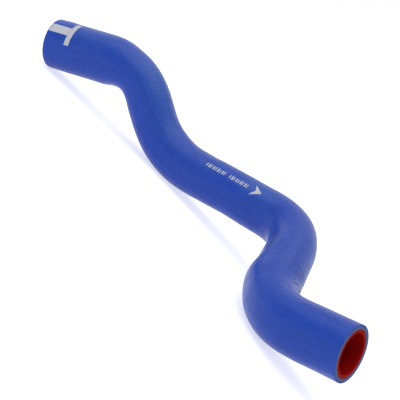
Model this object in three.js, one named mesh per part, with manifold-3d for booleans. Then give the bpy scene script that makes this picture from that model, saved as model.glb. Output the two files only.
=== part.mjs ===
// A preformed silicone radiator hose: a red liner inside a blue cover, with four bends in different
// planes, one wide end and one narrow end. Millimetres, +Z up, lying as it comes to rest.
import * as THREE from 'three';
import Module from 'manifold-3d';
import { ConvexHull } from 'three/addons/math/ConvexHull.js';
import { mergeVertices } from 'three/addons/utils/BufferGeometryUtils.js';

// Bores and wall
const wideBore = 37;
const narrowBore = 32;
const wall = 6.2;
const linerThickness = 2.5;
const layerGap = 0.3;

// Straights of the centreline, from the wide end
const wideStraight = 62;
const shortStraight = 13;
const longStraight = 84;
const crossStraight = 47;
const narrowStraight = 45;

// Centreline radii of the bends
const firstRadius = 60;
const secondRadius = 69;
const thirdRadius = 58;
const fourthRadius = 53;

// How far a bend's inside is pressed in, and its outside swells
const firstPress = 4.8;
const thirdPress = 2.2;
const thirdSwell = 1.6;
const fourthPress = 0.6;

// Bends from the wide end, each with the straight before it. Turn is the angle of its plane from that
// of the bend before.
const bends = [
  { straight: wideStraight, turn: 0, angle: 61, radius: firstRadius, press: firstPress },
  { straight: shortStraight, turn: 194, angle: 56.5, radius: secondRadius },
  { straight: longStraight, turn: 91.5, angle: 72, radius: thirdRadius, press: thirdPress, swell: thirdSwell },
  { straight: crossStraight, turn: -168.5, angle: 69, radius: fourthRadius, press: fourthPress },
];

// White film of the marks
const filmThickness = 0.25;
const filmLift = 0.3;

// Alignment mark at the wide end, a T whose stem starts at the cut edge. Its side is the angle around
// the hose from the inside of the first bend.
const markSide = -140.4;
const markEdge = 0.6;
const markLength = 28.2;
const stemWidth = 9.6;
const barWidth = 5.4;
const barSpan = 27.6;

// Plain print on the long straight: two bars, then an arrowhead that points to the narrow end and
// stops short of the next bend
const printSide = -66.5;
const printEndGap = 1;
const printHeight = 4.2;
const firstBar = 23;
const secondBar = 22;
const barGap = 4;
const arrowLength = 10;
const arrowWidth = 13;
const arrowNotch = 3.5;

// Fineness of the surfaces
const sides = 32;
const filmSides = 72;
const turnPerStep = 9;
const mergeDistance = 1e-4;

// Colours
const coverBlue = 0x2f4fb4;
const linerRed = 0xa8141a;
const printWhite = 0xd8dae2;

const wasm = await Module();
wasm.setup();

/** Angle in radians from degrees. */
function radians(degrees) {
  return THREE.MathUtils.degToRad(degrees);
}

/** Points evenly round a circle, first point on the x axis. */
function circlePoints(radius, count) {
  const points = [];
  for (let i = 0; i < count; i += 1) {
    const angle = (2 * Math.PI * i) / count;
    points.push(new THREE.Vector2(radius * Math.cos(angle), radius * Math.sin(angle)));
  }
  return points;
}

/** Straight tube along +Z, cut square at both ends, in a number of equal steps. */
function straightTube(outerRadius, innerRadius, length, count, steps) {
  const ring = new THREE.Shape(circlePoints(outerRadius, count));
  ring.holes.push(new THREE.Path(circlePoints(innerRadius, count)));
  const tube = new THREE.ExtrudeGeometry(ring, { depth: length, steps, bevelEnabled: false });
  return weld(tube);
}

/** Geometry with only positions and shared vertices. */
function weld(geometry) {
  geometry.deleteAttribute('normal');
  geometry.deleteAttribute('uv');
  return mergeVertices(geometry, mergeDistance);
}

/** Cross section at one point of the centreline, with the directions that place it. */
function makeStation(at, along, inward, twist, bore) {
  const across = inward.clone().applyAxisAngle(along, -twist);
  const up = new THREE.Vector3().crossVectors(along, across);
  return { at, along, inward, across, up, bore, press: 0, swell: 0 };
}

/** Stations of one bend. The pressing and swelling of the section rise and fall smoothly along it. */
function bendStations(bend, at, along, inward, twist, boreStart, boreEnd) {
  const stations = [];
  const axis = new THREE.Vector3().crossVectors(along, inward);
  const centre = at.clone().addScaledVector(inward, bend.radius);
  const steps = Math.max(2, Math.ceil(bend.angle / turnPerStep));
  for (let i = 0; i <= steps; i += 1) {
    const share = i / steps;
    const turned = radians(bend.angle) * share;
    const here = inward.clone().applyAxisAngle(axis, turned);
    const heading = along.clone().applyAxisAngle(axis, turned);
    const point = centre.clone().addScaledVector(here, -bend.radius);
    const bore = THREE.MathUtils.lerp(boreStart, boreEnd, THREE.MathUtils.smoothstep(share, 0, 1));
    const station = makeStation(point, heading, here, twist, bore);
    const strength = Math.sin(Math.PI * share) ** 2;
    station.press = (bend.press ?? 0) * strength;
    station.swell = (bend.swell ?? 0) * strength;
    stations.push(station);
  }
  return stations;
}

/** Stations from the wide end to the narrow end, and the one that each straight starts from. */
function traceHose() {
  const straightStarts = [];
  const stations = [];
  let twist = 0;
  const startAlong = new THREE.Vector3(1, 0, 0);
  const startInward = new THREE.Vector3(0, 0, 1);
  let last = makeStation(new THREE.Vector3(), startAlong, startInward, 0, wideBore);
  for (const bend of bends) {
    twist += radians(bend.turn);
    const inward = last.inward.clone().applyAxisAngle(last.along, radians(bend.turn));
    const start = makeStation(last.at, last.along, inward, twist, last.bore);
    straightStarts.push(start);
    if (stations.length === 0) {
      stations.push(start);
    }
    const at = last.at.clone().addScaledVector(last.along, bend.straight);
    stations.push(...bendStations(bend, at, last.along, inward, twist, last.bore, narrowBore));
    last = stations[stations.length - 1];
  }
  const end = last.at.clone().addScaledVector(last.along, narrowStraight);
  stations.push(makeStation(end, last.along, last.inward, twist, last.bore));
  return { stations, straightStarts };
}

/** Point of a section at an angle round the hose, a given height above the bore. */
function sectionPoint(station, angle, height) {
  const direction = station.across.clone().multiplyScalar(Math.cos(angle));
  direction.addScaledVector(station.up, Math.sin(angle));
  const inwardness = direction.dot(station.inward);
  const press = station.press * ((1 + inwardness) / 2) ** 2;
  const swell = station.swell * ((1 - inwardness) / 2) ** 2;
  const radius = station.bore / 2 + height - press + swell;
  return station.at.clone().addScaledVector(direction, radius);
}

/** One layer of the hose: a straight tube whose rings are carried to the stations. */
function bentLayer(stations, innerHeight, outerHeight) {
  const steps = stations.length - 1;
  const outerRadius = stations[0].bore / 2 + outerHeight;
  const innerRadius = stations[0].bore / 2 + innerHeight;
  const layer = straightTube(outerRadius, innerRadius, steps, sides, steps);
  const position = layer.attributes.position;
  const middleRadius = (outerRadius + innerRadius) / 2;
  for (let i = 0; i < position.count; i += 1) {
    const x = position.getX(i);
    const y = position.getY(i);
    const height = Math.hypot(x, y) > middleRadius ? outerHeight : innerHeight;
    const station = stations[Math.round(position.getZ(i))];
    const point = sectionPoint(station, Math.atan2(y, x), height);
    position.setXYZ(i, point.x, point.y, point.z);
  }
  layer.computeVertexNormals();
  return layer;
}

/** Closed solid from a geometry. */
function toSolid(geometry) {
  const mesh = new wasm.Mesh({
    numProp: 3,
    vertProperties: Float32Array.from(geometry.attributes.position.array),
    triVerts: Uint32Array.from(geometry.index.array),
  });
  return new wasm.Manifold(mesh);
}

/** Geometry from a closed solid. */
function toGeometry(solid) {
  const mesh = solid.getMesh();
  const geometry = new THREE.BufferGeometry();
  geometry.setAttribute('position', new THREE.Float32BufferAttribute(mesh.vertProperties, mesh.numProp));
  geometry.setIndex(Array.from(mesh.triVerts));
  geometry.computeVertexNormals();
  return geometry;
}

/** Thin film on a straight tube along +Z, with a flat outline laid onto its +X side. */
function film(outline, boreHere, length) {
  const surface = boreHere / 2 + wall + filmLift;
  const sleeve = straightTube(surface + filmThickness, surface, length, filmSides, 1);
  const depth = surface + 2 * filmThickness;
  const punch = weld(new THREE.ExtrudeGeometry(outline, { depth, bevelEnabled: false }));
  const lengthwise = new THREE.Vector3(0, 0, 1);
  const crosswise = new THREE.Vector3(0, -1, 0);
  const outwards = new THREE.Vector3(1, 0, 0);
  punch.applyMatrix4(new THREE.Matrix4().makeBasis(lengthwise, crosswise, outwards));
  return toGeometry(toSolid(sleeve).intersect(toSolid(punch)));
}

/** Outline from pairs of lengthwise and crosswise distances. */
function outlineOf(pairs) {
  return new THREE.Shape(pairs.map(([x, y]) => new THREE.Vector2(x, y)));
}

/** T with its stem from the cut edge and its bar at the far end of the stem. */
function alignmentOutline() {
  const barStart = markLength - barWidth;
  return outlineOf([
    [markEdge, -stemWidth / 2],
    [barStart, -stemWidth / 2],
    [barStart, -barSpan / 2],
    [markLength, -barSpan / 2],
    [markLength, barSpan / 2],
    [barStart, barSpan / 2],
    [barStart, stemWidth / 2],
    [markEdge, stemWidth / 2],
  ]);
}

/** Rectangle lengthwise from start. */
function barOutline(start, length, width) {
  const end = start + length;
  return outlineOf([[start, -width / 2], [end, -width / 2], [end, width / 2], [start, width / 2]]);
}

/** Arrowhead with its barbs at start and a notch between them. */
function arrowOutline(start, length, width, notch) {
  return outlineOf([[start, -width / 2], [start + length, 0], [start, width / 2], [start + notch, 0]]);
}

/** Mesh with its own material. */
function makeMesh(name, geometry, color, roughness) {
  const material = new THREE.MeshStandardMaterial({ color, roughness, metalness: 0 });
  const mesh = new THREE.Mesh(geometry, material);
  mesh.name = name;
  return mesh;
}

/** Film mesh on the straight that begins at a station, its outline centred on a side of the hose. */
function makeMark(name, outline, start, length, side) {
  const mesh = makeMesh(name, film(outline, start.bore, length), printWhite, 0.6);
  const outwards = start.inward.clone().applyAxisAngle(start.along, radians(side));
  const sideways = new THREE.Vector3().crossVectors(start.along, outwards);
  mesh.quaternion.setFromRotationMatrix(new THREE.Matrix4().makeBasis(outwards, sideways, start.along));
  mesh.position.copy(start.at);
  return mesh;
}

/** The alignment mark and the plain print. */
function makeMarks(straightStarts) {
  const [wideStart, , longStart] = straightStarts;
  const arrowStart = longStraight - printEndGap - arrowLength;
  const secondStart = arrowStart - barGap - secondBar;
  const firstStart = secondStart - barGap - firstBar;
  const first = barOutline(firstStart, firstBar, printHeight);
  const second = barOutline(secondStart, secondBar, printHeight);
  const arrow = arrowOutline(arrowStart, arrowLength, arrowWidth, arrowNotch);
  return [
    makeMark('alignment_mark', alignmentOutline(), wideStart, wideStraight, markSide),
    makeMark('print_bar_first', first, longStart, longStraight, printSide),
    makeMark('print_bar_second', second, longStart, longStraight, printSide),
    makeMark('print_arrow', arrow, longStart, longStraight, printSide),
  ];
}

/** Centre of mass of a closed geometry, from the tetrahedra that its triangles make with the origin. */
function centreOfMass(geometry) {
  const { position } = geometry.attributes;
  const corners = [new THREE.Vector3(), new THREE.Vector3(), new THREE.Vector3()];
  const moment = new THREE.Vector3();
  let volume = 0;
  for (let i = 0; i < geometry.index.count; i += 3) {
    corners.forEach((corner, k) => corner.fromBufferAttribute(position, geometry.index.getX(i + k)));
    const [a, b, c] = corners;
    const product = a.dot(new THREE.Vector3().crossVectors(b, c));
    volume += product;
    moment.addScaledVector(a, product).addScaledVector(b, product).addScaledVector(c, product);
  }
  return moment.divideScalar(4 * volume);
}

/** Whether a point lies over a triangular face, seen along the face's normal. */
function liesOver(face, point) {
  for (let i = 0; i < 3; i += 1) {
    const edge = face.getEdge(i);
    const from = edge.tail().point;
    const side = new THREE.Vector3().subVectors(edge.head().point, from);
    side.cross(new THREE.Vector3().subVectors(point, from));
    if (side.dot(face.normal) < 0) {
      return false;
    }
  }
  return true;
}

/** Up direction of the hose at rest, marked side up: on the hull face that keeps its centre lowest. */
function restingUp(geometry, markedSide) {
  const hull = new ConvexHull().setFromObject(new THREE.Mesh(geometry));
  const centre = centreOfMass(geometry);
  const faces = hull.faces.filter((face) => face.normal.dot(markedSide) < 0 && liesOver(face, centre));
  faces.sort((a, b) => b.distanceToPoint(centre) - a.distanceToPoint(centre));
  return faces[0].normal.clone().negate();
}

/** Turn that brings the resting up direction to +Z and the line from wide to narrow end over +X. */
function restingTurn(up, wideEnd, narrowEnd) {
  const lengthwise = new THREE.Vector3().subVectors(narrowEnd, wideEnd).projectOnPlane(up).normalize();
  const sideways = new THREE.Vector3().crossVectors(up, lengthwise);
  const basis = new THREE.Matrix4().makeBasis(lengthwise, sideways, up);
  return new THREE.Quaternion().setFromRotationMatrix(basis).invert();
}

const { stations, straightStarts } = traceHose();
const wideEnd = stations[0];
const narrowEnd = stations[stations.length - 1];
const linerLayer = bentLayer(stations, 0, linerThickness);
const coverLayer = bentLayer(stations, linerThickness + layerGap, wall);
const markedSide = wideEnd.inward.clone().applyAxisAngle(wideEnd.along, radians(markSide));

const hose = new THREE.Group();
hose.add(makeMesh('outer_cover', coverLayer, coverBlue, 0.45));
hose.add(makeMesh('inner_liner', linerLayer, linerRed, 0.5));
hose.add(...makeMarks(straightStarts));
hose.quaternion.copy(restingTurn(restingUp(coverLayer, markedSide), wideEnd.at, narrowEnd.at));

// The lowest point stands at height zero, under the middle of the outline
const bounds = new THREE.Box3().setFromObject(hose, true);
const middle = bounds.getCenter(new THREE.Vector3());
hose.position.set(-middle.x, -middle.y, -bounds.min.z);

const radiatorHose = new THREE.Group();
radiatorHose.add(hose);

export default radiatorHose;
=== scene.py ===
"""Preformed silicone radiator hose: blue cover, red liner, white marks, lying on a pale floor."""
import math

import bpy
import numpy as np
from mathutils import Matrix, Vector


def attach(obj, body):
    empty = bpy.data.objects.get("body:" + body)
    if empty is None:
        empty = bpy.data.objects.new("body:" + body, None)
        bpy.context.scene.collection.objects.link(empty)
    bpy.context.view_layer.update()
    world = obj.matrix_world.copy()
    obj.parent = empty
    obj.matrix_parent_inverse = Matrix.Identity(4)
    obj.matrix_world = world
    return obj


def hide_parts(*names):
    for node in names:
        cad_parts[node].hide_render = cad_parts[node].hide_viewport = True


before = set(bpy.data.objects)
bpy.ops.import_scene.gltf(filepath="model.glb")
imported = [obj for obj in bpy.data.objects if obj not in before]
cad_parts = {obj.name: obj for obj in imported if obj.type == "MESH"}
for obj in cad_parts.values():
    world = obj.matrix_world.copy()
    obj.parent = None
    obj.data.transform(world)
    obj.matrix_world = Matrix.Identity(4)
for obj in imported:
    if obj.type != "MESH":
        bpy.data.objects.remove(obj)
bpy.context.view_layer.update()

MM = 0.001
TURN = 2 * math.pi
HALF_TURN = math.pi
QUARTER_TURN = math.pi / 2

# Bores, wall and layers, in millimetres, with the rounding of the cover's edge, of the bore's edge and of
# the edges where the two layers meet
WIDE_BORE = 37.0
NARROW_BORE = 32.0
WALL = 6.2
LINER = 2.5
BOND = 0.02
LIP = 0.45
BORE_LIP = 0.35
BOND_LIP = 0.1

# For each bend: the straight before it, turn of its plane, angle, radius, press inside, swell outside
BENDS = (
    (62.0, 0.0, 61.0, 60.0, 4.8, 0.0),
    (13.0, 194.0, 56.5, 69.0, 0.0, 0.0),
    (84.0, 91.5, 72.0, 58.0, 2.2, 1.6),
    (47.0, -168.5, 69.0, 53.0, 0.6, 0.0),
)
NARROW_STRAIGHT = 45.0

# Places in the list of straights and bends: the long straight, and the one that crosses over
LONG_STRETCH = 4
CROSS_STRETCH = 6

# Where the centreline starts at the wide end as the hose lies, and which way it heads and first bends
START = np.array([-217.6412, -44.1151, 22.3620])
HEADING = np.array([0.8606337, 0.2941482, 0.4156759])
INWARD = np.array([0.2835231, 0.4012718, -0.8709740])

# Hand-wound unevenness of the cover: place along, side in degrees round, reach along, height, and how far
# each bump spreads round in radians
UNEVEN = (
    (12.0, 175.0, 6.0, 0.35), (85.0, 163.0, 8.0, -0.60), (95.0, 320.0, 7.0, -0.40),
    (148.0, 322.0, 10.0, -0.25), (178.0, 162.0, 15.0, 0.35), (214.0, 330.0, 10.0, 0.35),
    (222.0, 172.0, 9.0, -0.45), (257.0, 331.0, 15.0, -0.70), (286.0, 172.0, 12.0, -0.40),
    (348.0, 115.0, 13.0, -0.50), (398.0, 111.0, 8.0, 0.30), (409.0, 262.0, 11.0, 0.95),
    (427.0, 275.0, 9.0, -0.50), (443.0, 294.0, 11.0, -0.60), (419.0, 118.0, 5.0, 0.50),
    (55.0, 324.0, 22.0, -0.30), (484.0, 335.0, 10.0, 0.45),
)
UNEVEN_SPREAD = 0.8

# Crease beside the inside of the third bend: its line as place along and side round, where its hollow
# starts and ends and over what length it fades, where its line ends, its depth, its raised lip and the nick
# of its line
CREASE_PATH = ((318.0, 268.0), (333.0, 254.0), (345.0, 243.0), (358.0, 234.0), (370.0, 230.0),
               (382.0, 233.0), (392.0, 240.0), (402.0, 246.0), (425.0, 247.0))
CREASE_START = 342.0
CREASE_END = 404.0
CREASE_FADE = 26.0
CREASE_TAIL = 418.0
CREASE_DEPTH = 2.0
CREASE_LIP = 0.35
CREASE_NICK = 0.45

# Degrees round from the crease's line: over which the hollow drops, where it ends, over which it rises
CREASE_DROP = 11.0
CREASE_FAR = 62.0
CREASE_RISE = 40.0

# Wrinkles across the inside of the last bend: place along and height, then the side they start from, how
# far they lean along the hose in millimetres a degree, and their half width
WRINKLES = ((418.5, 1.00), (408.5, 0.45), (426.5, 0.20))
WRINKLE_SIDE = 120.0
WRINKLE_LEAN = 0.5
WRINKLE_WIDTH = 2.1

# Ridges of the curing wrap: millimetres a turn, height, and where they show: place along, reach, share
WRAP_PITCH = 3.3
RIDGE_HEIGHT = 0.12
RIDGES_LEAST = 0.15
RIDGES_SHOWN = ((112.0, 30.0, 1.0), (391.0, 13.0, 1.0), (185.0, 30.0, 0.4))

# Side at which the edge of the last wrap runs along the hose, where it shows (place along, reach), its
# half width and how dark it is: the edge is a line of painted shade, with no step in the shape
WRAP_EDGE = math.radians(232.0)
WRAP_EDGE_SHOWN = ((55.0, 50.0), (135.0, 70.0), (474.0, 34.0))
WRAP_EDGE_WIDTH = 0.024
WRAP_EDGE_SHADE = 0.40

# Painted sheen: paler patches of colour on the side that faces up, standing for light on it: place along,
# reach, share
PAINTED_SHEEN_PATCHES = ((47.0, 30.0, 0.22), (130.0, 58.0, 0.50), (218.0, 40.0, 0.18), (288.0, 26.0, 0.40))

# Marks: the side is the angle round the hose from the inside of the next bend, a tick's width its share of
# the ticks' pitch
MARK_SIDE = -140.4
MARK_EDGE = 0.6
MARK_LENGTH = 28.2
STEM_WIDTH = 9.6
BAR_WIDTH = 5.4
BAR_SPAN = 27.6
PRINT_SIDE = -66.5
PRINT_START = 20.0
PRINT_HEIGHT = 4.2
FIRST_BAR = 23.0
SECOND_BAR = 22.0
BAR_GAP = 4.0
TICKS = 9
TICK_SHARES = (0.42, 0.66, 0.34, 0.58)
ARROW_LENGTH = 10.0
ARROW_WIDTH = 13.0
ARROW_NOTCH = 3.5
INK = 0.05

# Height above the bore at which the woven ply shows on the cut face, how deep it lies there and its yarns,
# and how near to the cut a place still belongs to the face
PLY_HEIGHT = 3.7
PLY_DIP = 0.07
PLY_YARNS = 64
CUT_REACH = 0.3

# Columns of points round the cover, round the liner and across a film of ink, and how far apart the rows
# are in the bends and on the straights
COVER_COLUMNS = 150
LINER_COLUMNS = 128
FILM_COLUMNS = 41
FINE_STEPS = (0.8, 3.0)
MIDDLE_STEPS = (2.0, 5.0)
COARSE_STEPS = (5.0, 12.0)

# Colours, linear
COVER_BLUE = (0.0020, 0.0590, 0.4700)
COVER_DEEP = (0.0010, 0.0450, 0.4040)
# Painted shade: darker blue in the crease's hollow and line, and along the edge of the last wrap
COVER_CREASE_SHADE = (0.001, 0.022, 0.250)
# Paler blue of the dust specks, and of the painted sheen patches
COVER_DUST_AND_SHEEN = (0.038, 0.128, 0.480)
# Painted highlight: pale blue on the wrinkles inside the last bend
COVER_FOLD_HIGHLIGHT = (0.330, 0.370, 0.560)
COVER_CUT = (0.014, 0.058, 0.310)
COVER_BOND = (0.035, 0.022, 0.050)
SHEEN_PALE = (0.640, 0.790, 1.000)
PLY_PALE = (0.075, 0.095, 0.210)
LINER_RED = (0.400, 0.004, 0.003)
LINER_DEEP = (0.300, 0.002, 0.002)
LINER_CUT = (0.300, 0.008, 0.006)
INK_WHITE = (0.590, 0.620, 0.690)
INK_THIN = (0.380, 0.440, 0.640)

# Satin and fine relief of the cover, the liner and the ink: depths in metres, pitches in millimetres
COVER_ROUGHNESS = 0.27
COVER_IOR = 1.39
COVER_SHEEN = 0.30
COVER_SHEEN_SPREAD = 0.31
LINER_ROUGHNESS = 0.42
LINER_IOR = 1.12
INK_ROUGHNESS = 0.5
INK_IOR = 1.45
COVER_BUMP = 0.00004
LINER_BUMP = 0.00005
INK_BUMP = 0.00003
WEAVE_PITCH = 0.55
RING_PITCH = 1.7

# Faint streaks along the cover, whose pale lines also stand for highlights: cells round it and along it,
# and how much they and the mottle shade it
STREAKS_ROUND = 22.0
STREAKS_ALONG = 0.12
STREAK_SHADE = 1.4
MOTTLE_SHADE = 1.8

# Light and floor, in metres and watts
WORLD_LEVEL = 0.42
LAMP_PLACE = (-0.15, -0.30, 1.26)
LAMP_AIM = (0.0, 0.0, 0.0)
LAMP_SIZE = 1.72
LAMP_POWER = 10.4
FLOOR_PALE = (0.96, 0.96, 0.96)
FLOOR_LIFT = 0.62
FLOOR_GLOW = 0.20
FLOOR_REACH = 12.0
FLOOR_LEVEL = -0.0002

# View of the photograph: the point it looks at and distances in metres, angles in degrees, lens and its
# sensor in millimetres
AIM = Vector((0.02688, -0.02603, 0.02833))
AZIMUTH = 34.42
ELEVATION = 13.104
ROLL = 41.567
DISTANCE = 0.68
LENS = 71.75
SENSOR = 36.0
FAR_CLIP = 60.0


# Centreline

def turned(vector, axis, angle):
    """Vector turned about a unit axis: v cos a + (axis x v) sin a + axis (axis . v)(1 - cos a)."""
    cos, sin = np.cos(angle), np.sin(angle)
    return vector * cos + np.cross(axis, vector) * sin + axis * np.dot(axis, vector) * (1 - cos)


def list_stretches():
    """Straights and bends in order, each with its start, its directions and the twist up to it."""
    stretches = []
    point, heading, inward, twist, start = START, HEADING, INWARD, 0.0, 0.0
    for straight, turn, angle, radius, press, swell in BENDS:
        twist += math.radians(turn)
        inward = turned(inward, heading, math.radians(turn))
        stretches.append(dict(start=start, length=straight, point=point, heading=heading, inward=inward,
                              twist=twist, radius=None, press=0.0, swell=0.0))
        point = point + heading * straight
        start += straight
        length = math.radians(angle) * radius
        stretches.append(dict(start=start, length=length, point=point, heading=heading, inward=inward,
                              twist=twist, radius=radius, press=press, swell=swell))
        axis = np.cross(heading, inward)
        centre = point + inward * radius
        heading = turned(heading, axis, math.radians(angle))
        inward = turned(inward, axis, math.radians(angle))
        point = centre - inward * radius
        start += length
    stretches.append(dict(start=start, length=NARROW_STRAIGHT, point=point, heading=heading, inward=inward,
                          twist=twist, radius=None, press=0.0, swell=0.0))
    return stretches


STRETCHES = list_stretches()
LENGTH = STRETCHES[-1]["start"] + STRETCHES[-1]["length"]


def smooth(share):
    """Share eased at both ends: 3 t^2 - 2 t^3, held to 0..1."""
    share = np.clip(share, 0.0, 1.0)
    return share * share * (3 - 2 * share)


def centreline(along):
    """Point, heading, inward, across and up at distances along the hose, with bore, press and swell.

    On a straight the point is start + heading * t. On a bend of radius R it goes round the centre
    start + inward * R by the angle t / R. Across is inward turned back by the twist so far, so that it
    runs along the hose without turning round it.
    """
    shape = along.shape + (3,)
    point, heading, inward = np.zeros(shape), np.zeros(shape), np.zeros(shape)
    twist, press, swell = np.zeros(along.shape), np.zeros(along.shape), np.zeros(along.shape)
    for part in STRETCHES:
        first = part is STRETCHES[0]
        here = (along >= part["start"]) | first
        t = (along[here] - part["start"])[:, None]
        if part["radius"] is None:
            point[here] = part["point"] + part["heading"] * t
            heading[here] = part["heading"]
            inward[here] = part["inward"]
            press[here] = swell[here] = 0.0
        else:
            angle = t / part["radius"]
            heading[here] = part["heading"] * np.cos(angle) + part["inward"] * np.sin(angle)
            inward[here] = part["inward"] * np.cos(angle) - part["heading"] * np.sin(angle)
            point[here] = part["point"] + (part["inward"] - inward[here]) * part["radius"]
            strength = np.sin(HALF_TURN * np.clip(t[:, 0] / part["length"], 0, 1)) ** 2
            press[here] = part["press"] * strength
            swell[here] = part["swell"] * strength
        twist[here] = part["twist"]
    side = np.cross(heading, inward)
    across = inward * np.cos(twist)[..., None] - side * np.sin(twist)[..., None]
    taper = smooth((along - STRETCHES[1]["start"]) / STRETCHES[1]["length"])
    bore = WIDE_BORE + (NARROW_BORE - WIDE_BORE) * taper
    return dict(point=point, heading=heading, inward=inward, across=across,
                up=np.cross(heading, across), bore=bore, press=press, swell=swell)


def hump(value, centre, width):
    """Smooth bump of height 1: exp(-((x - centre) / width)^2)."""
    return np.exp(-((value - centre) / width) ** 2)


# Surface of the hose

def winding(along, angle):
    """Turns of the curing wrap up to a place, which sways as it goes round the hose.

    s / pitch + 1.1 sin(a - 4.67 + s / 119) + 0.12 sin(3 a + s / 17), at a place s and an angle a.
    """
    sway = 1.1 * np.sin(angle - 4.67 + along / 119.0)
    return along / WRAP_PITCH + sway + 0.12 * np.sin(3 * angle + along / 17.0)


def wound(along):
    """How plainly the wrap's ridges show, 0.15 to 1: most in the first two bends and beside the last."""
    shown = sum(share * hump(along, place, reach) for place, reach, share in RIDGES_SHOWN)
    return np.clip(RIDGES_LEAST + (1 - RIDGES_LEAST) * shown, 0.0, 1.0)


def ridges(along, angle):
    """Ridges of the wrap, -1 to 1: a sine over each turn, which stands out by a share of 0.25 to 1."""
    turns = winding(along, angle)
    share = np.sin(np.floor(turns) * 12.9898) * 43758.5453 % 1.0
    return np.sin(TURN * turns) * (0.25 + 0.75 * share ** 2) * wound(along)


def gap(angle, other):
    """Angle from one direction to another, -pi to pi."""
    return (angle - other + HALF_TURN) % TURN - HALF_TURN


def past_crease(along, angle):
    """Degrees round the hose from the crease's line, towards the inside of the third bend.

    The line is CREASE_PATH, with its corners eased by a mean of five places 3 mm apart.
    """
    place, side = np.array(CREASE_PATH).T
    line = sum(np.interp(along + step, place, side) for step in (-6.0, -3.0, 0.0, 3.0, 6.0)) / 5
    return np.degrees(gap(angle, np.radians(line)))


def crease(along, angle):
    """Hollow beside the third bend, 0 to 1.

    It drops over CREASE_DROP degrees past the crease's line and has risen again CREASE_FAR degrees past it.
    """
    across = past_crease(along, angle)
    reach = smooth((along - CREASE_START) / CREASE_FADE) * smooth((CREASE_END - along) / CREASE_FADE)
    return reach * smooth(across / CREASE_DROP) * smooth((CREASE_FAR - across) / CREASE_RISE)


def crease_line(along, angle):
    """Narrow line of the crease and its tail, 0 to 1."""
    reach = smooth((along - CREASE_START - 4.0) / 18.0) * smooth((CREASE_TAIL - along) / 14.0)
    return reach * hump(past_crease(along, angle), 1.5, 3.0)


def wrinkle(along, angle, place):
    """Narrow ridge, 0 to 1, across the inside of the last bend.

    It leans along the hose by WRINKLE_LEAN millimetres a degree round it.
    """
    round_by = np.degrees(gap(angle, math.radians(WRINKLE_SIDE)))
    reach = smooth((round_by + 16.0) / 14.0) * smooth((52.0 - round_by) / 30.0)
    return reach * hump(along - WRINKLE_LEAN * round_by, place, WRINKLE_WIDTH)


def folds(along, angle, least):
    """Height of the wrinkles inside the last bend, in millimetres, each at least a least height."""
    return sum(max(height, least) * wrinkle(along, angle, place) for place, height in WRINKLES)


def wrap_relief(along, angle):
    """Height that the winding by hand, the curing wrap and the mandrel leave on the cover, in millimetres.

    Low bumps, long shallow waves, faint ridges that wind round the hose, the crease beside the third bend,
    and the wrinkles inside the last one.
    """
    bumps = sum(height * hump(along, place, reach)
                * hump(gap(angle, math.radians(side)), 0.0, UNEVEN_SPREAD)
                for place, side, reach, height in UNEVEN)
    waves = (0.05 * np.sin(along / 23.0 + 1.3 * np.sin(angle + 0.7))
             + 0.04 * np.sin(along / 9.1 + 2.0 * np.cos(angle)) * np.sin(2 * angle + along / 60.0))
    lip = hump(past_crease(along, angle), -10.0, 8.0) * smooth((along - CREASE_START) / 30.0)
    fold = (CREASE_LIP * lip * smooth((CREASE_TAIL - along) / 30.0)
            - CREASE_NICK * crease_line(along, angle))
    return (bumps + waves + RIDGE_HEIGHT * ridges(along, angle) + folds(along, angle, -1.0) + fold
            - CREASE_DEPTH * crease(along, angle))


def surface(along, angle, height, relief=0.0, lift=0.0):
    """Points of the hose in metres, a height above the bore, plus the relief's share and a lift.

    A point is the centre plus its direction times bore / 2 + height - press ((1 + c) / 2)^2
    + swell ((1 - c) / 2)^2, where c is how far the direction turns to the inside of the bend.
    """
    line = centreline(along)
    direction = (line["across"] * np.cos(angle)[..., None] + line["up"] * np.sin(angle)[..., None])
    inwardness = np.sum(direction * line["inward"], axis=-1)
    radius = (line["bore"] / 2 + height + lift
              - line["press"] * ((1 + inwardness) / 2) ** 2 + line["swell"] * ((1 - inwardness) / 2) ** 2)
    radius = radius + relief * wrap_relief(along, angle)
    return (line["point"] + direction * radius[..., None]) * MM


def spaced(bend_step, straight_step):
    """Distances along the whole hose, closer in the bends and on the straight that crosses over."""
    rows = []
    for part in STRETCHES:
        bent = part["radius"] is not None or part is STRETCHES[CROSS_STRETCH]
        count = max(2, round(part["length"] / (bend_step if bent else straight_step)))
        rows.append(part["start"] + part["length"] * np.arange(count) / count)
    return np.concatenate(rows + [np.array([LENGTH])])


def corner(along, height, radius, start):
    """Quarter of a circle about (along, height), going clockwise from an angle of the outline's plane."""
    angle = start - np.linspace(0, QUARTER_TURN, 7)
    return np.stack([along + radius * np.cos(angle), height + radius * np.sin(angle)], axis=1)


def sleeve_outline(low, high, low_lip, high_lip, low_rows, high_rows):
    """Closed outline of a layer in (along, height), once round the cut wall.

    It starts at the wide end's cut face, rounds the corner onto the skin, follows the skin to the narrow
    end, comes down the cut face there, goes back along the inner skin and up the wide end's face.
    """
    skin = high_rows[(high_rows > high_lip) & (high_rows < LENGTH - high_lip)]
    back = low_rows[(low_rows > low_lip) & (low_rows < LENGTH - low_lip)][::-1]
    face = np.linspace(high - high_lip, low + low_lip, 14)[1:-1]
    return np.concatenate([
        corner(high_lip, high - high_lip, high_lip, HALF_TURN),
        np.stack([skin, np.full(skin.shape, high)], axis=1),
        corner(LENGTH - high_lip, high - high_lip, high_lip, QUARTER_TURN),
        np.stack([np.full(face.shape, LENGTH), face], axis=1),
        corner(LENGTH - low_lip, low + low_lip, low_lip, 0.0),
        np.stack([back, np.full(back.shape, low)], axis=1),
        corner(low_lip, low + low_lip, low_lip, -QUARTER_TURN),
        np.stack([np.zeros(face.shape), face[::-1]], axis=1),
    ])


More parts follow.
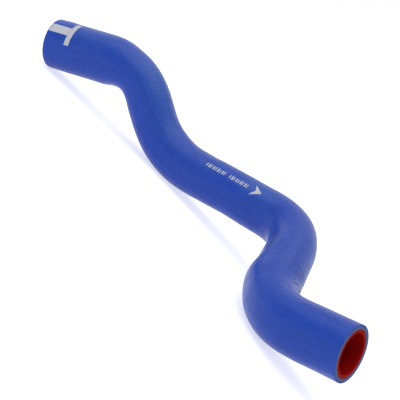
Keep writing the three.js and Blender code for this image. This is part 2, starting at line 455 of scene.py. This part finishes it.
def make_mesh(name, points, faces, material, attributes):
    """Smooth object from points and faces, turned outwards, with attributes of one number a point."""
    corners = points[faces]
    volume = np.sum(corners[:, 0] * np.cross(corners[:, 1], corners[:, 2]))
    volume += np.sum(corners[:, 0] * np.cross(corners[:, 2], corners[:, 3]))
    if volume < 0:
        faces = faces[:, ::-1]
    mesh = bpy.data.meshes.new(name)
    mesh.from_pydata(points.tolist(), [], faces.tolist())
    mesh.polygons.foreach_set("use_smooth", np.ones(len(faces), dtype=bool))
    for key, values in attributes.items():
        layer = mesh.attributes.new(key, "FLOAT", "POINT")
        layer.data.foreach_set("value", np.ascontiguousarray(values, dtype=np.float32).ravel())
    mesh.materials.append(material)
    mesh.update()
    piece = bpy.data.objects.new(name, mesh)
    bpy.context.scene.collection.objects.link(piece)
    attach(piece, "root")
    return piece


def grid_faces(rows, columns, close_rows):
    """Quads of a grid closed round its columns, and along its rows too where asked."""
    index = np.arange(rows * columns).reshape(rows, columns)
    ahead = np.roll(index, -1, axis=0)
    if not close_rows:
        index, ahead = index[:-1], ahead[:-1]
    quads = [index, np.roll(index, -1, axis=1), np.roll(ahead, -1, axis=1), ahead]
    return np.stack([q.ravel() for q in quads], axis=1)


def make_sleeve(name, outline, low, high, columns, relief, material):
    """One layer of the hose: its outline carried round the centreline.

    A point of the outline goes to surface(along, angle, height), and the relief fades from the skin to
    the inner skin. The cut faces dip where the woven ply ends.
    """
    along, height = outline[:, :1], outline[:, 1:]
    angle = np.linspace(0, TURN, columns, endpoint=False)[None, :]
    along, height, angle = np.broadcast_arrays(along, height, angle)
    cut = np.clip(1 - np.minimum(along, LENGTH - along) / CUT_REACH, 0, 1)
    dip = PLY_DIP * cut * hump(height, PLY_HEIGHT, 0.4) * (0.7 + 0.3 * np.sin(PLY_YARNS * angle))
    place = np.where(along < LENGTH / 2, along + dip, along - dip)
    share = np.clip((height - low) / (high - low), 0, 1)
    points = surface(place, angle, height, relief * share)
    faces = grid_faces(along.shape[0], columns, True)
    # Painted shade: the crease's hollow and its line, darkened in colour through the attribute 'crease'
    beside = smooth((32.0 - past_crease(along, angle)) / 20.0)
    shade = np.maximum(crease(along, angle) * beside, crease_line(along, angle))
    edge = gap(angle, WRAP_EDGE + 0.2 * hump(along, 118.0, 24.0) + 0.02 * np.sin(along / 9.0))
    # 'fold' carries the painted highlight on the wrinkles
    attributes = {"along": along, "height": height, "cut": cut, "crease": shade * share,
                  "ridge": ridges(along, angle), "edge": np.sin(edge / 2) * share,
                  "fold": folds(along, angle, 0.0) * share, "east": np.cos(angle), "north": np.sin(angle)}
    return make_mesh(name, points.reshape(-1, 3), faces, material, attributes)


def film_patch(start, side, outline):
    """Slab of ink on a straight: points and quads.

    The outline gives rows of along, low and high. Across, a point at w between low and high lies at the
    angle asin(w / radius) from the middle of the side. Each row goes over the top and back underneath, and
    both ends are closed.
    """
    rows, columns = len(outline), FILM_COLUMNS
    share = np.linspace(0, 1, columns)
    part = next(p for p in STRETCHES if p["start"] == start)
    radius = (WIDE_BORE if start == 0 else NARROW_BORE) / 2 + WALL
    across = outline[:, 1:2] + (outline[:, 2:] - outline[:, 1:2]) * share[None, :]
    angle = part["twist"] + math.radians(side) + np.arcsin(across / radius)
    along = np.broadcast_to(start + outline[:, :1], angle.shape)
    top = surface(along, angle, WALL, 1.0, INK)
    under = surface(along, angle, WALL, 1.0, -INK)
    ring = np.concatenate([top, under[:, ::-1]], axis=1)
    faces = grid_faces(rows, 2 * columns, False)
    first, last = np.arange(2 * columns), np.arange(2 * columns) + (rows - 1) * 2 * columns
    caps = [[a[j + 1], a[j], a[-1 - j], a[-2 - j]] for a in (first, last[::-1]) for j in range(columns - 1)]
    return ring.reshape(-1, 3), np.concatenate([faces, np.array(caps)])


def make_film(name, start, side, outlines, material, replaced):
    """Ink film of several patches in one object, standing for its thin CAD film."""
    points, faces, count = [], [], 0
    for outline in outlines:
        patch_points, patch_faces = film_patch(start, side, np.array(outline, dtype=float))
        points.append(patch_points)
        faces.append(patch_faces + count)
        count += len(patch_points)
    piece = make_mesh(name, np.concatenate(points), np.concatenate(faces), material, {})
    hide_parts(replaced)
    return piece


def rectangle(start, length, width, rows=2):
    """Rows of a rectangle: along, low and high."""
    return [(a, -width / 2, width / 2) for a in np.linspace(start, start + length, rows)]


def arrow_wings(start, length, width, notch):
    """Rows of the two halves of an arrowhead: each runs from the notch's slanted edge to the head's."""
    wing = []
    for t in np.linspace(0, 1, 13):
        low = width / 2 * max(0.0, 1 - t * length / notch)
        wing.append((start + length * t, low, max(low + 0.1, width / 2 * (1 - t))))
    return [wing, [(along, -high, -low) for along, low, high in wing]]


def tick_row(start, length, count, height):
    """Rectangles of four widths in turn, evenly spread over a length."""
    pitch = length / count
    shares = [TICK_SHARES[i % len(TICK_SHARES)] for i in range(count)]
    return [rectangle(start + i * pitch, pitch * share, height) for i, share in enumerate(shares)]


# Materials

class Field:
    """A value in a node tree, written as an expression: each operator adds a Math node."""

    def __init__(self, tree, socket):
        self.tree = tree
        self.socket = socket

    def math(self, operation, *values):
        """Math node of this value and others."""
        node = self.tree.add("ShaderNodeMath", {"operation": operation})
        for place, value in enumerate((self,) + values):
            self.tree.feed(node.inputs[place], value)
        return Field(self.tree, node.outputs[0])

    def __add__(self, other):
        return self.math("ADD", other)

    def __sub__(self, other):
        return self.math("SUBTRACT", other)

    def __mul__(self, other):
        return self.math("MULTIPLY", other)

    def __truediv__(self, other):
        return self.math("DIVIDE", other)

    def __rsub__(self, other):
        return self.math("MULTIPLY", -1.0).math("ADD", other)

    __radd__ = __add__
    __rmul__ = __mul__

    def sine(self):
        """Sine of this value."""
        return self.math("SINE")

    def held(self):
        """This value held to 0..1."""
        return self.math("MAXIMUM", 0.0).math("MINIMUM", 1.0)

    def band(self, low, high):
        """0 below low, 1 above high, eased between."""
        node = self.tree.add("ShaderNodeMapRange", {"interpolation_type": "SMOOTHSTEP"})
        for name, value in (("Value", self), ("From Min", low), ("From Max", high)):
            self.tree.feed(node.inputs[name], value)
        return Field(self.tree, node.outputs["Result"])

    def around(self, centre, width):
        """Soft bump of height 1 at a centre: 1 - ((x - c) / w)^2, held to 0..1."""
        offset = (self - centre) / width
        return (1 - offset * offset).held()


class Tree:
    """Node tree of a material or of the world, and the node that gives its light."""

    def __init__(self, owner, shader_type):
        owner.use_nodes = True
        self.nodes = owner.node_tree.nodes
        self.links = owner.node_tree.links
        self.shader = next(n for n in self.nodes if n.type == shader_type)

    def add(self, kind, settings=None, **values):
        """Node of a type with its settings, then its sockets' values or links."""
        node = self.nodes.new(kind)
        for key, value in (settings or {}).items():
            setattr(node, key, value)
        for key, value in values.items():
            self.feed(node.inputs[key.replace("_", " ")], value)
        return node

    def feed(self, socket, value):
        """Links or sets one socket."""
        if isinstance(value, Field):
            self.links.new(value.socket, socket)
        elif isinstance(value, bpy.types.NodeSocket):
            self.links.new(value, socket)
        else:
            socket.default_value = value

    def seen(self):
        """1 for a ray from the camera, or one that a gloss or a glass sends on, otherwise 0."""
        rays = self.add("ShaderNodeLightPath")
        kinds = ("Camera", "Glossy", "Transmission")
        return sum(Field(self, rays.outputs[f"Is {kind} Ray"]) for kind in kinds).held()

    def attribute(self, name):
        """Number kept on the mesh's points."""
        node = self.add("ShaderNodeAttribute", {"attribute_name": name})
        return Field(self, node.outputs["Fac"])

    def place(self):
        """Object coordinates in metres."""
        return self.add("ShaderNodeTexCoord").outputs["Object"]

    def noise(self, scale, detail=3.0, roughness=0.55, place=None):
        """Noise, 0 to 1, at so many cells a metre of the object, or a unit of another place."""
        node = self.add("ShaderNodeTexNoise", None, Vector=place or self.place(), Scale=scale,
                        Detail=detail, Roughness=roughness)
        return Field(self, node.outputs["Fac"])

    def mix(self, share, first, second):
        """Colour between two, by a share."""
        node = self.add("ShaderNodeMix", {"data_type": "RGBA"})
        colours = [s for s in node.inputs if s.type == "RGBA"]
        self.feed(node.inputs[0], share)
        for socket, value in zip(colours, (first, second)):
            self.feed(socket, value if not isinstance(value, tuple) else value + (1.0,))
        return next(s for s in node.outputs if s.type == "RGBA")


class Finish(Tree):
    """Material with the principled shader."""

    def __init__(self, name):
        self.material = bpy.data.materials.new(name)
        super().__init__(self.material, "BSDF_PRINCIPLED")

    def finish(self, colour, roughness, relief, relief_depth, **constants):
        """Sets the shader: colour, roughness, and a bump relief_depth metres deep for a relief of 1."""
        self.feed(self.shader.inputs["Base Color"], colour)
        self.feed(self.shader.inputs["Roughness"], roughness)
        bump = self.add("ShaderNodeBump", None, Strength=1.0, Distance=relief_depth, Height=relief)
        self.links.new(bump.outputs["Normal"], self.shader.inputs["Normal"])
        for key, value in constants.items():
            self.shader.inputs[key.replace("_", " ")].default_value = value
        return self.material


def cover_finish():
    """Blue silicone: a satin skin with the faint weave of the curing wrap, and a cut face with a ply ring.

    The skin has a fine mottle, faint streaks that run along the hose whose pale lines also stand for
    highlights, painted sheen in paler patches on the side that faces up, painted shade in the crease and
    along the edge of the last wrap, broken here and there, painted highlights on the wrinkles, and the
    wrap's ridges painted lighter on their crests and darker in their grooves.
    """
    tree = Finish("blue_silicone")
    along, height, cut = tree.attribute("along"), tree.attribute("height"), tree.attribute("cut")
    cloudy = tree.noise(18.0, 4.0)
    fine = tree.noise(900.0, 2.0)
    dust = tree.noise(260.0, 3.0, 0.6)
    plain = sum(along.around(place, reach) for place, reach in WRAP_EDGE_SHOWN)
    ridge = tree.attribute("ridge")
    weave = (along * (TURN / WEAVE_PITCH)).sine() * 0.5 + fine
    lengthwise = tree.add("ShaderNodeCombineXYZ", None, X=tree.attribute("east") * STREAKS_ROUND,
                          Y=tree.attribute("north") * STREAKS_ROUND, Z=along * STREAKS_ALONG).outputs[0]
    streaks = tree.noise(0.30, 2.0, 0.6, lengthwise)
    mottle = tree.noise(150.0, 2.0, 0.6)
    # Mottle and streaks vary the tone; the streaks' pale lines are partly painted highlight
    uneven = (mottle - 0.5) * MOTTLE_SHADE + (streaks - 0.5) * STREAK_SHADE
    # Painted light and shade: the wrap's ridges lighter on their crests, darker in their grooves
    depth = 0.35 + cloudy.band(0.3, 0.7) * 0.4 + ridge * 0.3 + uneven
    skin = tree.mix(depth.held(), COVER_DEEP, COVER_BLUE)
    # Painted sheen: paler colour on the side that faces up, where light falls
    painted_sheen = sum(along.around(place, reach) * share for place, reach, share in PAINTED_SHEEN_PATCHES)
    painted_sheen = painted_sheen * (tree.attribute("east") * -1.0).band(0.1, 1.0)
    skin = tree.mix(painted_sheen.held(), skin, COVER_DUST_AND_SHEEN)
    # Painted shade in the crease's hollow and along its line
    skin = tree.mix(tree.attribute("crease").held(), skin, COVER_CREASE_SHADE)
    # Painted highlight: the wrinkles inside the last bend paler
    skin = tree.mix((tree.attribute("fold") * 0.6).held(), skin, COVER_FOLD_HIGHLIGHT)
    # Painted shade: a darker line along the edge of the last wrap
    edge = tree.attribute("edge").around(0.0, WRAP_EDGE_WIDTH) * height.band(5.0, 6.0)
    broken = 0.2 + tree.noise(70.0, 3.0).band(0.42, 0.60) * 0.8
    skin = tree.mix((edge * plain.held() * broken * WRAP_EDGE_SHADE).held(), skin, COVER_CREASE_SHADE)
    skin = tree.mix((dust.band(0.62, 0.8) * 0.05).held(), skin, COVER_DUST_AND_SHEEN)
    ply = height.around(PLY_HEIGHT, 0.9)
    yarn = tree.noise(1400.0, 2.0).band(0.4, 0.6)
    face = tree.mix((ply * (0.55 + yarn * 0.45)).held(), COVER_CUT, PLY_PALE)
    face = tree.mix(height.around(LINER, 0.4), face, COVER_BOND)
    colour = tree.mix(cut.band(0.5, 0.95), skin, face)
    roughness = COVER_ROUGHNESS + cloudy * 0.06 + dust * 0.06 + cut * 0.3 + tree.attribute("crease") * 0.4
    relief = weave * 0.25 + fine * 0.25 + dust * 0.1 + mottle * 10.0 + streaks * 7.0
    return tree.finish(colour, roughness, relief, COVER_BUMP, IOR=COVER_IOR, Sheen_Weight=COVER_SHEEN,
                       Sheen_Roughness=COVER_SHEEN_SPREAD, Sheen_Tint=SHEEN_PALE + (1.0,))


def liner_finish():
    """Red silicone: satin, with faint rings of the mandrel down the bore and a matt cut face."""
    tree = Finish("red_silicone")
    along, cut = tree.attribute("along"), tree.attribute("cut")
    cloudy = tree.noise(30.0, 4.0)
    fine = tree.noise(1100.0, 3.0)
    rings = (along * (TURN / RING_PITCH) + cloudy * 4.0).sine()
    bore = tree.mix(cloudy.band(0.3, 0.7), LINER_DEEP, LINER_RED)
    colour = tree.mix(cut.band(0.3, 0.95), bore, LINER_CUT)
    roughness = LINER_ROUGHNESS + fine * 0.1 + cut * 0.15
    return tree.finish(colour, roughness, fine + rings * 0.2, LINER_BUMP, IOR=LINER_IOR)


def ink_finish():
    """White ink, a little thin in places so that the blue shows through, with a chalky surface."""
    tree = Finish("white_ink")
    thin = tree.noise(420.0, 5.0, 0.7)
    cloudy = tree.noise(90.0, 3.0)
    colour = tree.mix((thin.band(0.60, 0.74) * 0.45 + cloudy * 0.12).held(), INK_WHITE, INK_THIN)
    return tree.finish(colour, INK_ROUGHNESS + thin * 0.2, thin, INK_BUMP, IOR=INK_IOR)


# Scene

def build_hose():
    """Cover and liner, each a closed sleeve."""
    fine = spaced(*FINE_STEPS)
    middle = spaced(*MIDDLE_STEPS)
    coarse = spaced(*COARSE_STEPS)
    cover = sleeve_outline(LINER, WALL, BOND_LIP, LIP, coarse, fine)
    liner = sleeve_outline(0.0, LINER - BOND, BORE_LIP, BOND_LIP, middle, coarse)
    outer = make_sleeve("cover_skin", cover, LINER, WALL, COVER_COLUMNS, 1.0, cover_finish())
    inner = make_sleeve("liner_skin", liner, 0.0, LINER, LINER_COLUMNS, 0.0, liner_finish())
    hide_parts("outer_cover")
    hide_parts("inner_liner")


def build_marks():
    """The alignment mark and the plain print, as thin films of ink."""
    ink = ink_finish()
    bar_start = MARK_LENGTH - BAR_WIDTH
    stem = rectangle(MARK_EDGE, bar_start - MARK_EDGE, STEM_WIDTH, 6)
    bar = rectangle(bar_start, BAR_WIDTH, BAR_SPAN, 3)
    make_film("alignment_ink", 0.0, MARK_SIDE, [stem, bar], ink, "alignment_mark")
    long_start = STRETCHES[LONG_STRETCH]["start"]
    second = PRINT_START + FIRST_BAR + BAR_GAP
    arrow = second + SECOND_BAR + BAR_GAP
    wings = arrow_wings(arrow, ARROW_LENGTH, ARROW_WIDTH, ARROW_NOTCH)
    first_ticks = tick_row(PRINT_START, FIRST_BAR, TICKS, PRINT_HEIGHT)
    second_ticks = tick_row(second, SECOND_BAR, TICKS, PRINT_HEIGHT)
    make_film("first_bar_ink", long_start, PRINT_SIDE, first_ticks, ink, "print_bar_first")
    make_film("second_bar_ink", long_start, PRINT_SIDE, second_ticks, ink, "print_bar_second")
    make_film("arrow_ink", long_start, PRINT_SIDE, wings, ink, "print_arrow")


def build_floor():
    """Wide pale floor under the hose, white to the camera and in reflections where it is fully lit.

    Its glow also lights the hose a little from below.
    """
    side = np.array([-1.0, 1.0]) * FLOOR_REACH
    x, y = np.meshgrid(side, side)
    points = np.stack([x.ravel(), y.ravel(), np.full(4, FLOOR_LEVEL)], axis=1)
    mesh = bpy.data.meshes.new("floor")
    mesh.from_pydata(points.tolist(), [], [(0, 1, 3, 2)])
    tree = Finish("pale_floor")
    glow = tree.mix(tree.seen(), (FLOOR_GLOW,) * 3, (FLOOR_LIFT,) * 3)
    for name, value in (("Base Color", FLOOR_PALE + (1.0,)), ("Roughness", 0.9),
                        ("Specular IOR Level", 0.0), ("Emission Color", glow),
                        ("Emission Strength", 1.0)):
        tree.feed(tree.shader.inputs[name], value)
    mesh.materials.append(tree.material)
    floor = bpy.data.objects.new("floor", mesh)
    bpy.context.scene.collection.objects.link(floor)


def build_world():
    """Plain soft light from all round, and white where the camera, gloss or glass looks past the floor."""
    world = bpy.data.worlds.new("studio")
    bpy.context.scene.world = world
    tree = Tree(world, "BACKGROUND")
    tree.feed(tree.shader.inputs["Color"], tree.mix(tree.seen(), (WORLD_LEVEL,) * 3, (1.0, 1.0, 1.0)))


def add_lamp(name, place, aim, width, power):
    """Square soft lamp at a place, facing a point."""
    lamp = bpy.data.lights.new(name, "AREA")
    lamp.shape = "SQUARE"
    lamp.size = width
    lamp.energy = power
    holder = bpy.data.objects.new(name, lamp)
    holder.location = place
    holder.rotation_euler = (Vector(aim) - Vector(place)).to_track_quat("-Z", "Y").to_euler()
    bpy.context.scene.collection.objects.link(holder)


def add_camera():
    """Camera of the photograph: it looks down on the hose, rolled so that the hose lies diagonal."""
    azimuth, elevation = math.radians(AZIMUTH), math.radians(ELEVATION)
    ahead = Vector((-math.sin(azimuth) * math.cos(elevation), math.cos(azimuth) * math.cos(elevation),
                    -math.sin(elevation)))
    turn = ahead.to_track_quat("-Z", "Y") @ Matrix.Rotation(math.radians(ROLL), 3, "Z").to_quaternion()
    data = bpy.data.cameras.new("camera")
    data.lens = LENS
    data.sensor_width = SENSOR
    data.clip_end = FAR_CLIP
    camera = bpy.data.objects.new("camera", data)
    camera.location = AIM - ahead * DISTANCE
    camera.rotation_euler = turn.to_euler()
    bpy.context.scene.collection.objects.link(camera)
    bpy.context.scene.camera = camera


bpy.context.scene.view_settings.view_transform = "Standard"
add_camera()
build_world()
build_floor()
add_lamp("top_lamp", LAMP_PLACE, LAMP_AIM, LAMP_SIZE, LAMP_POWER)
build_hose()
build_marks()
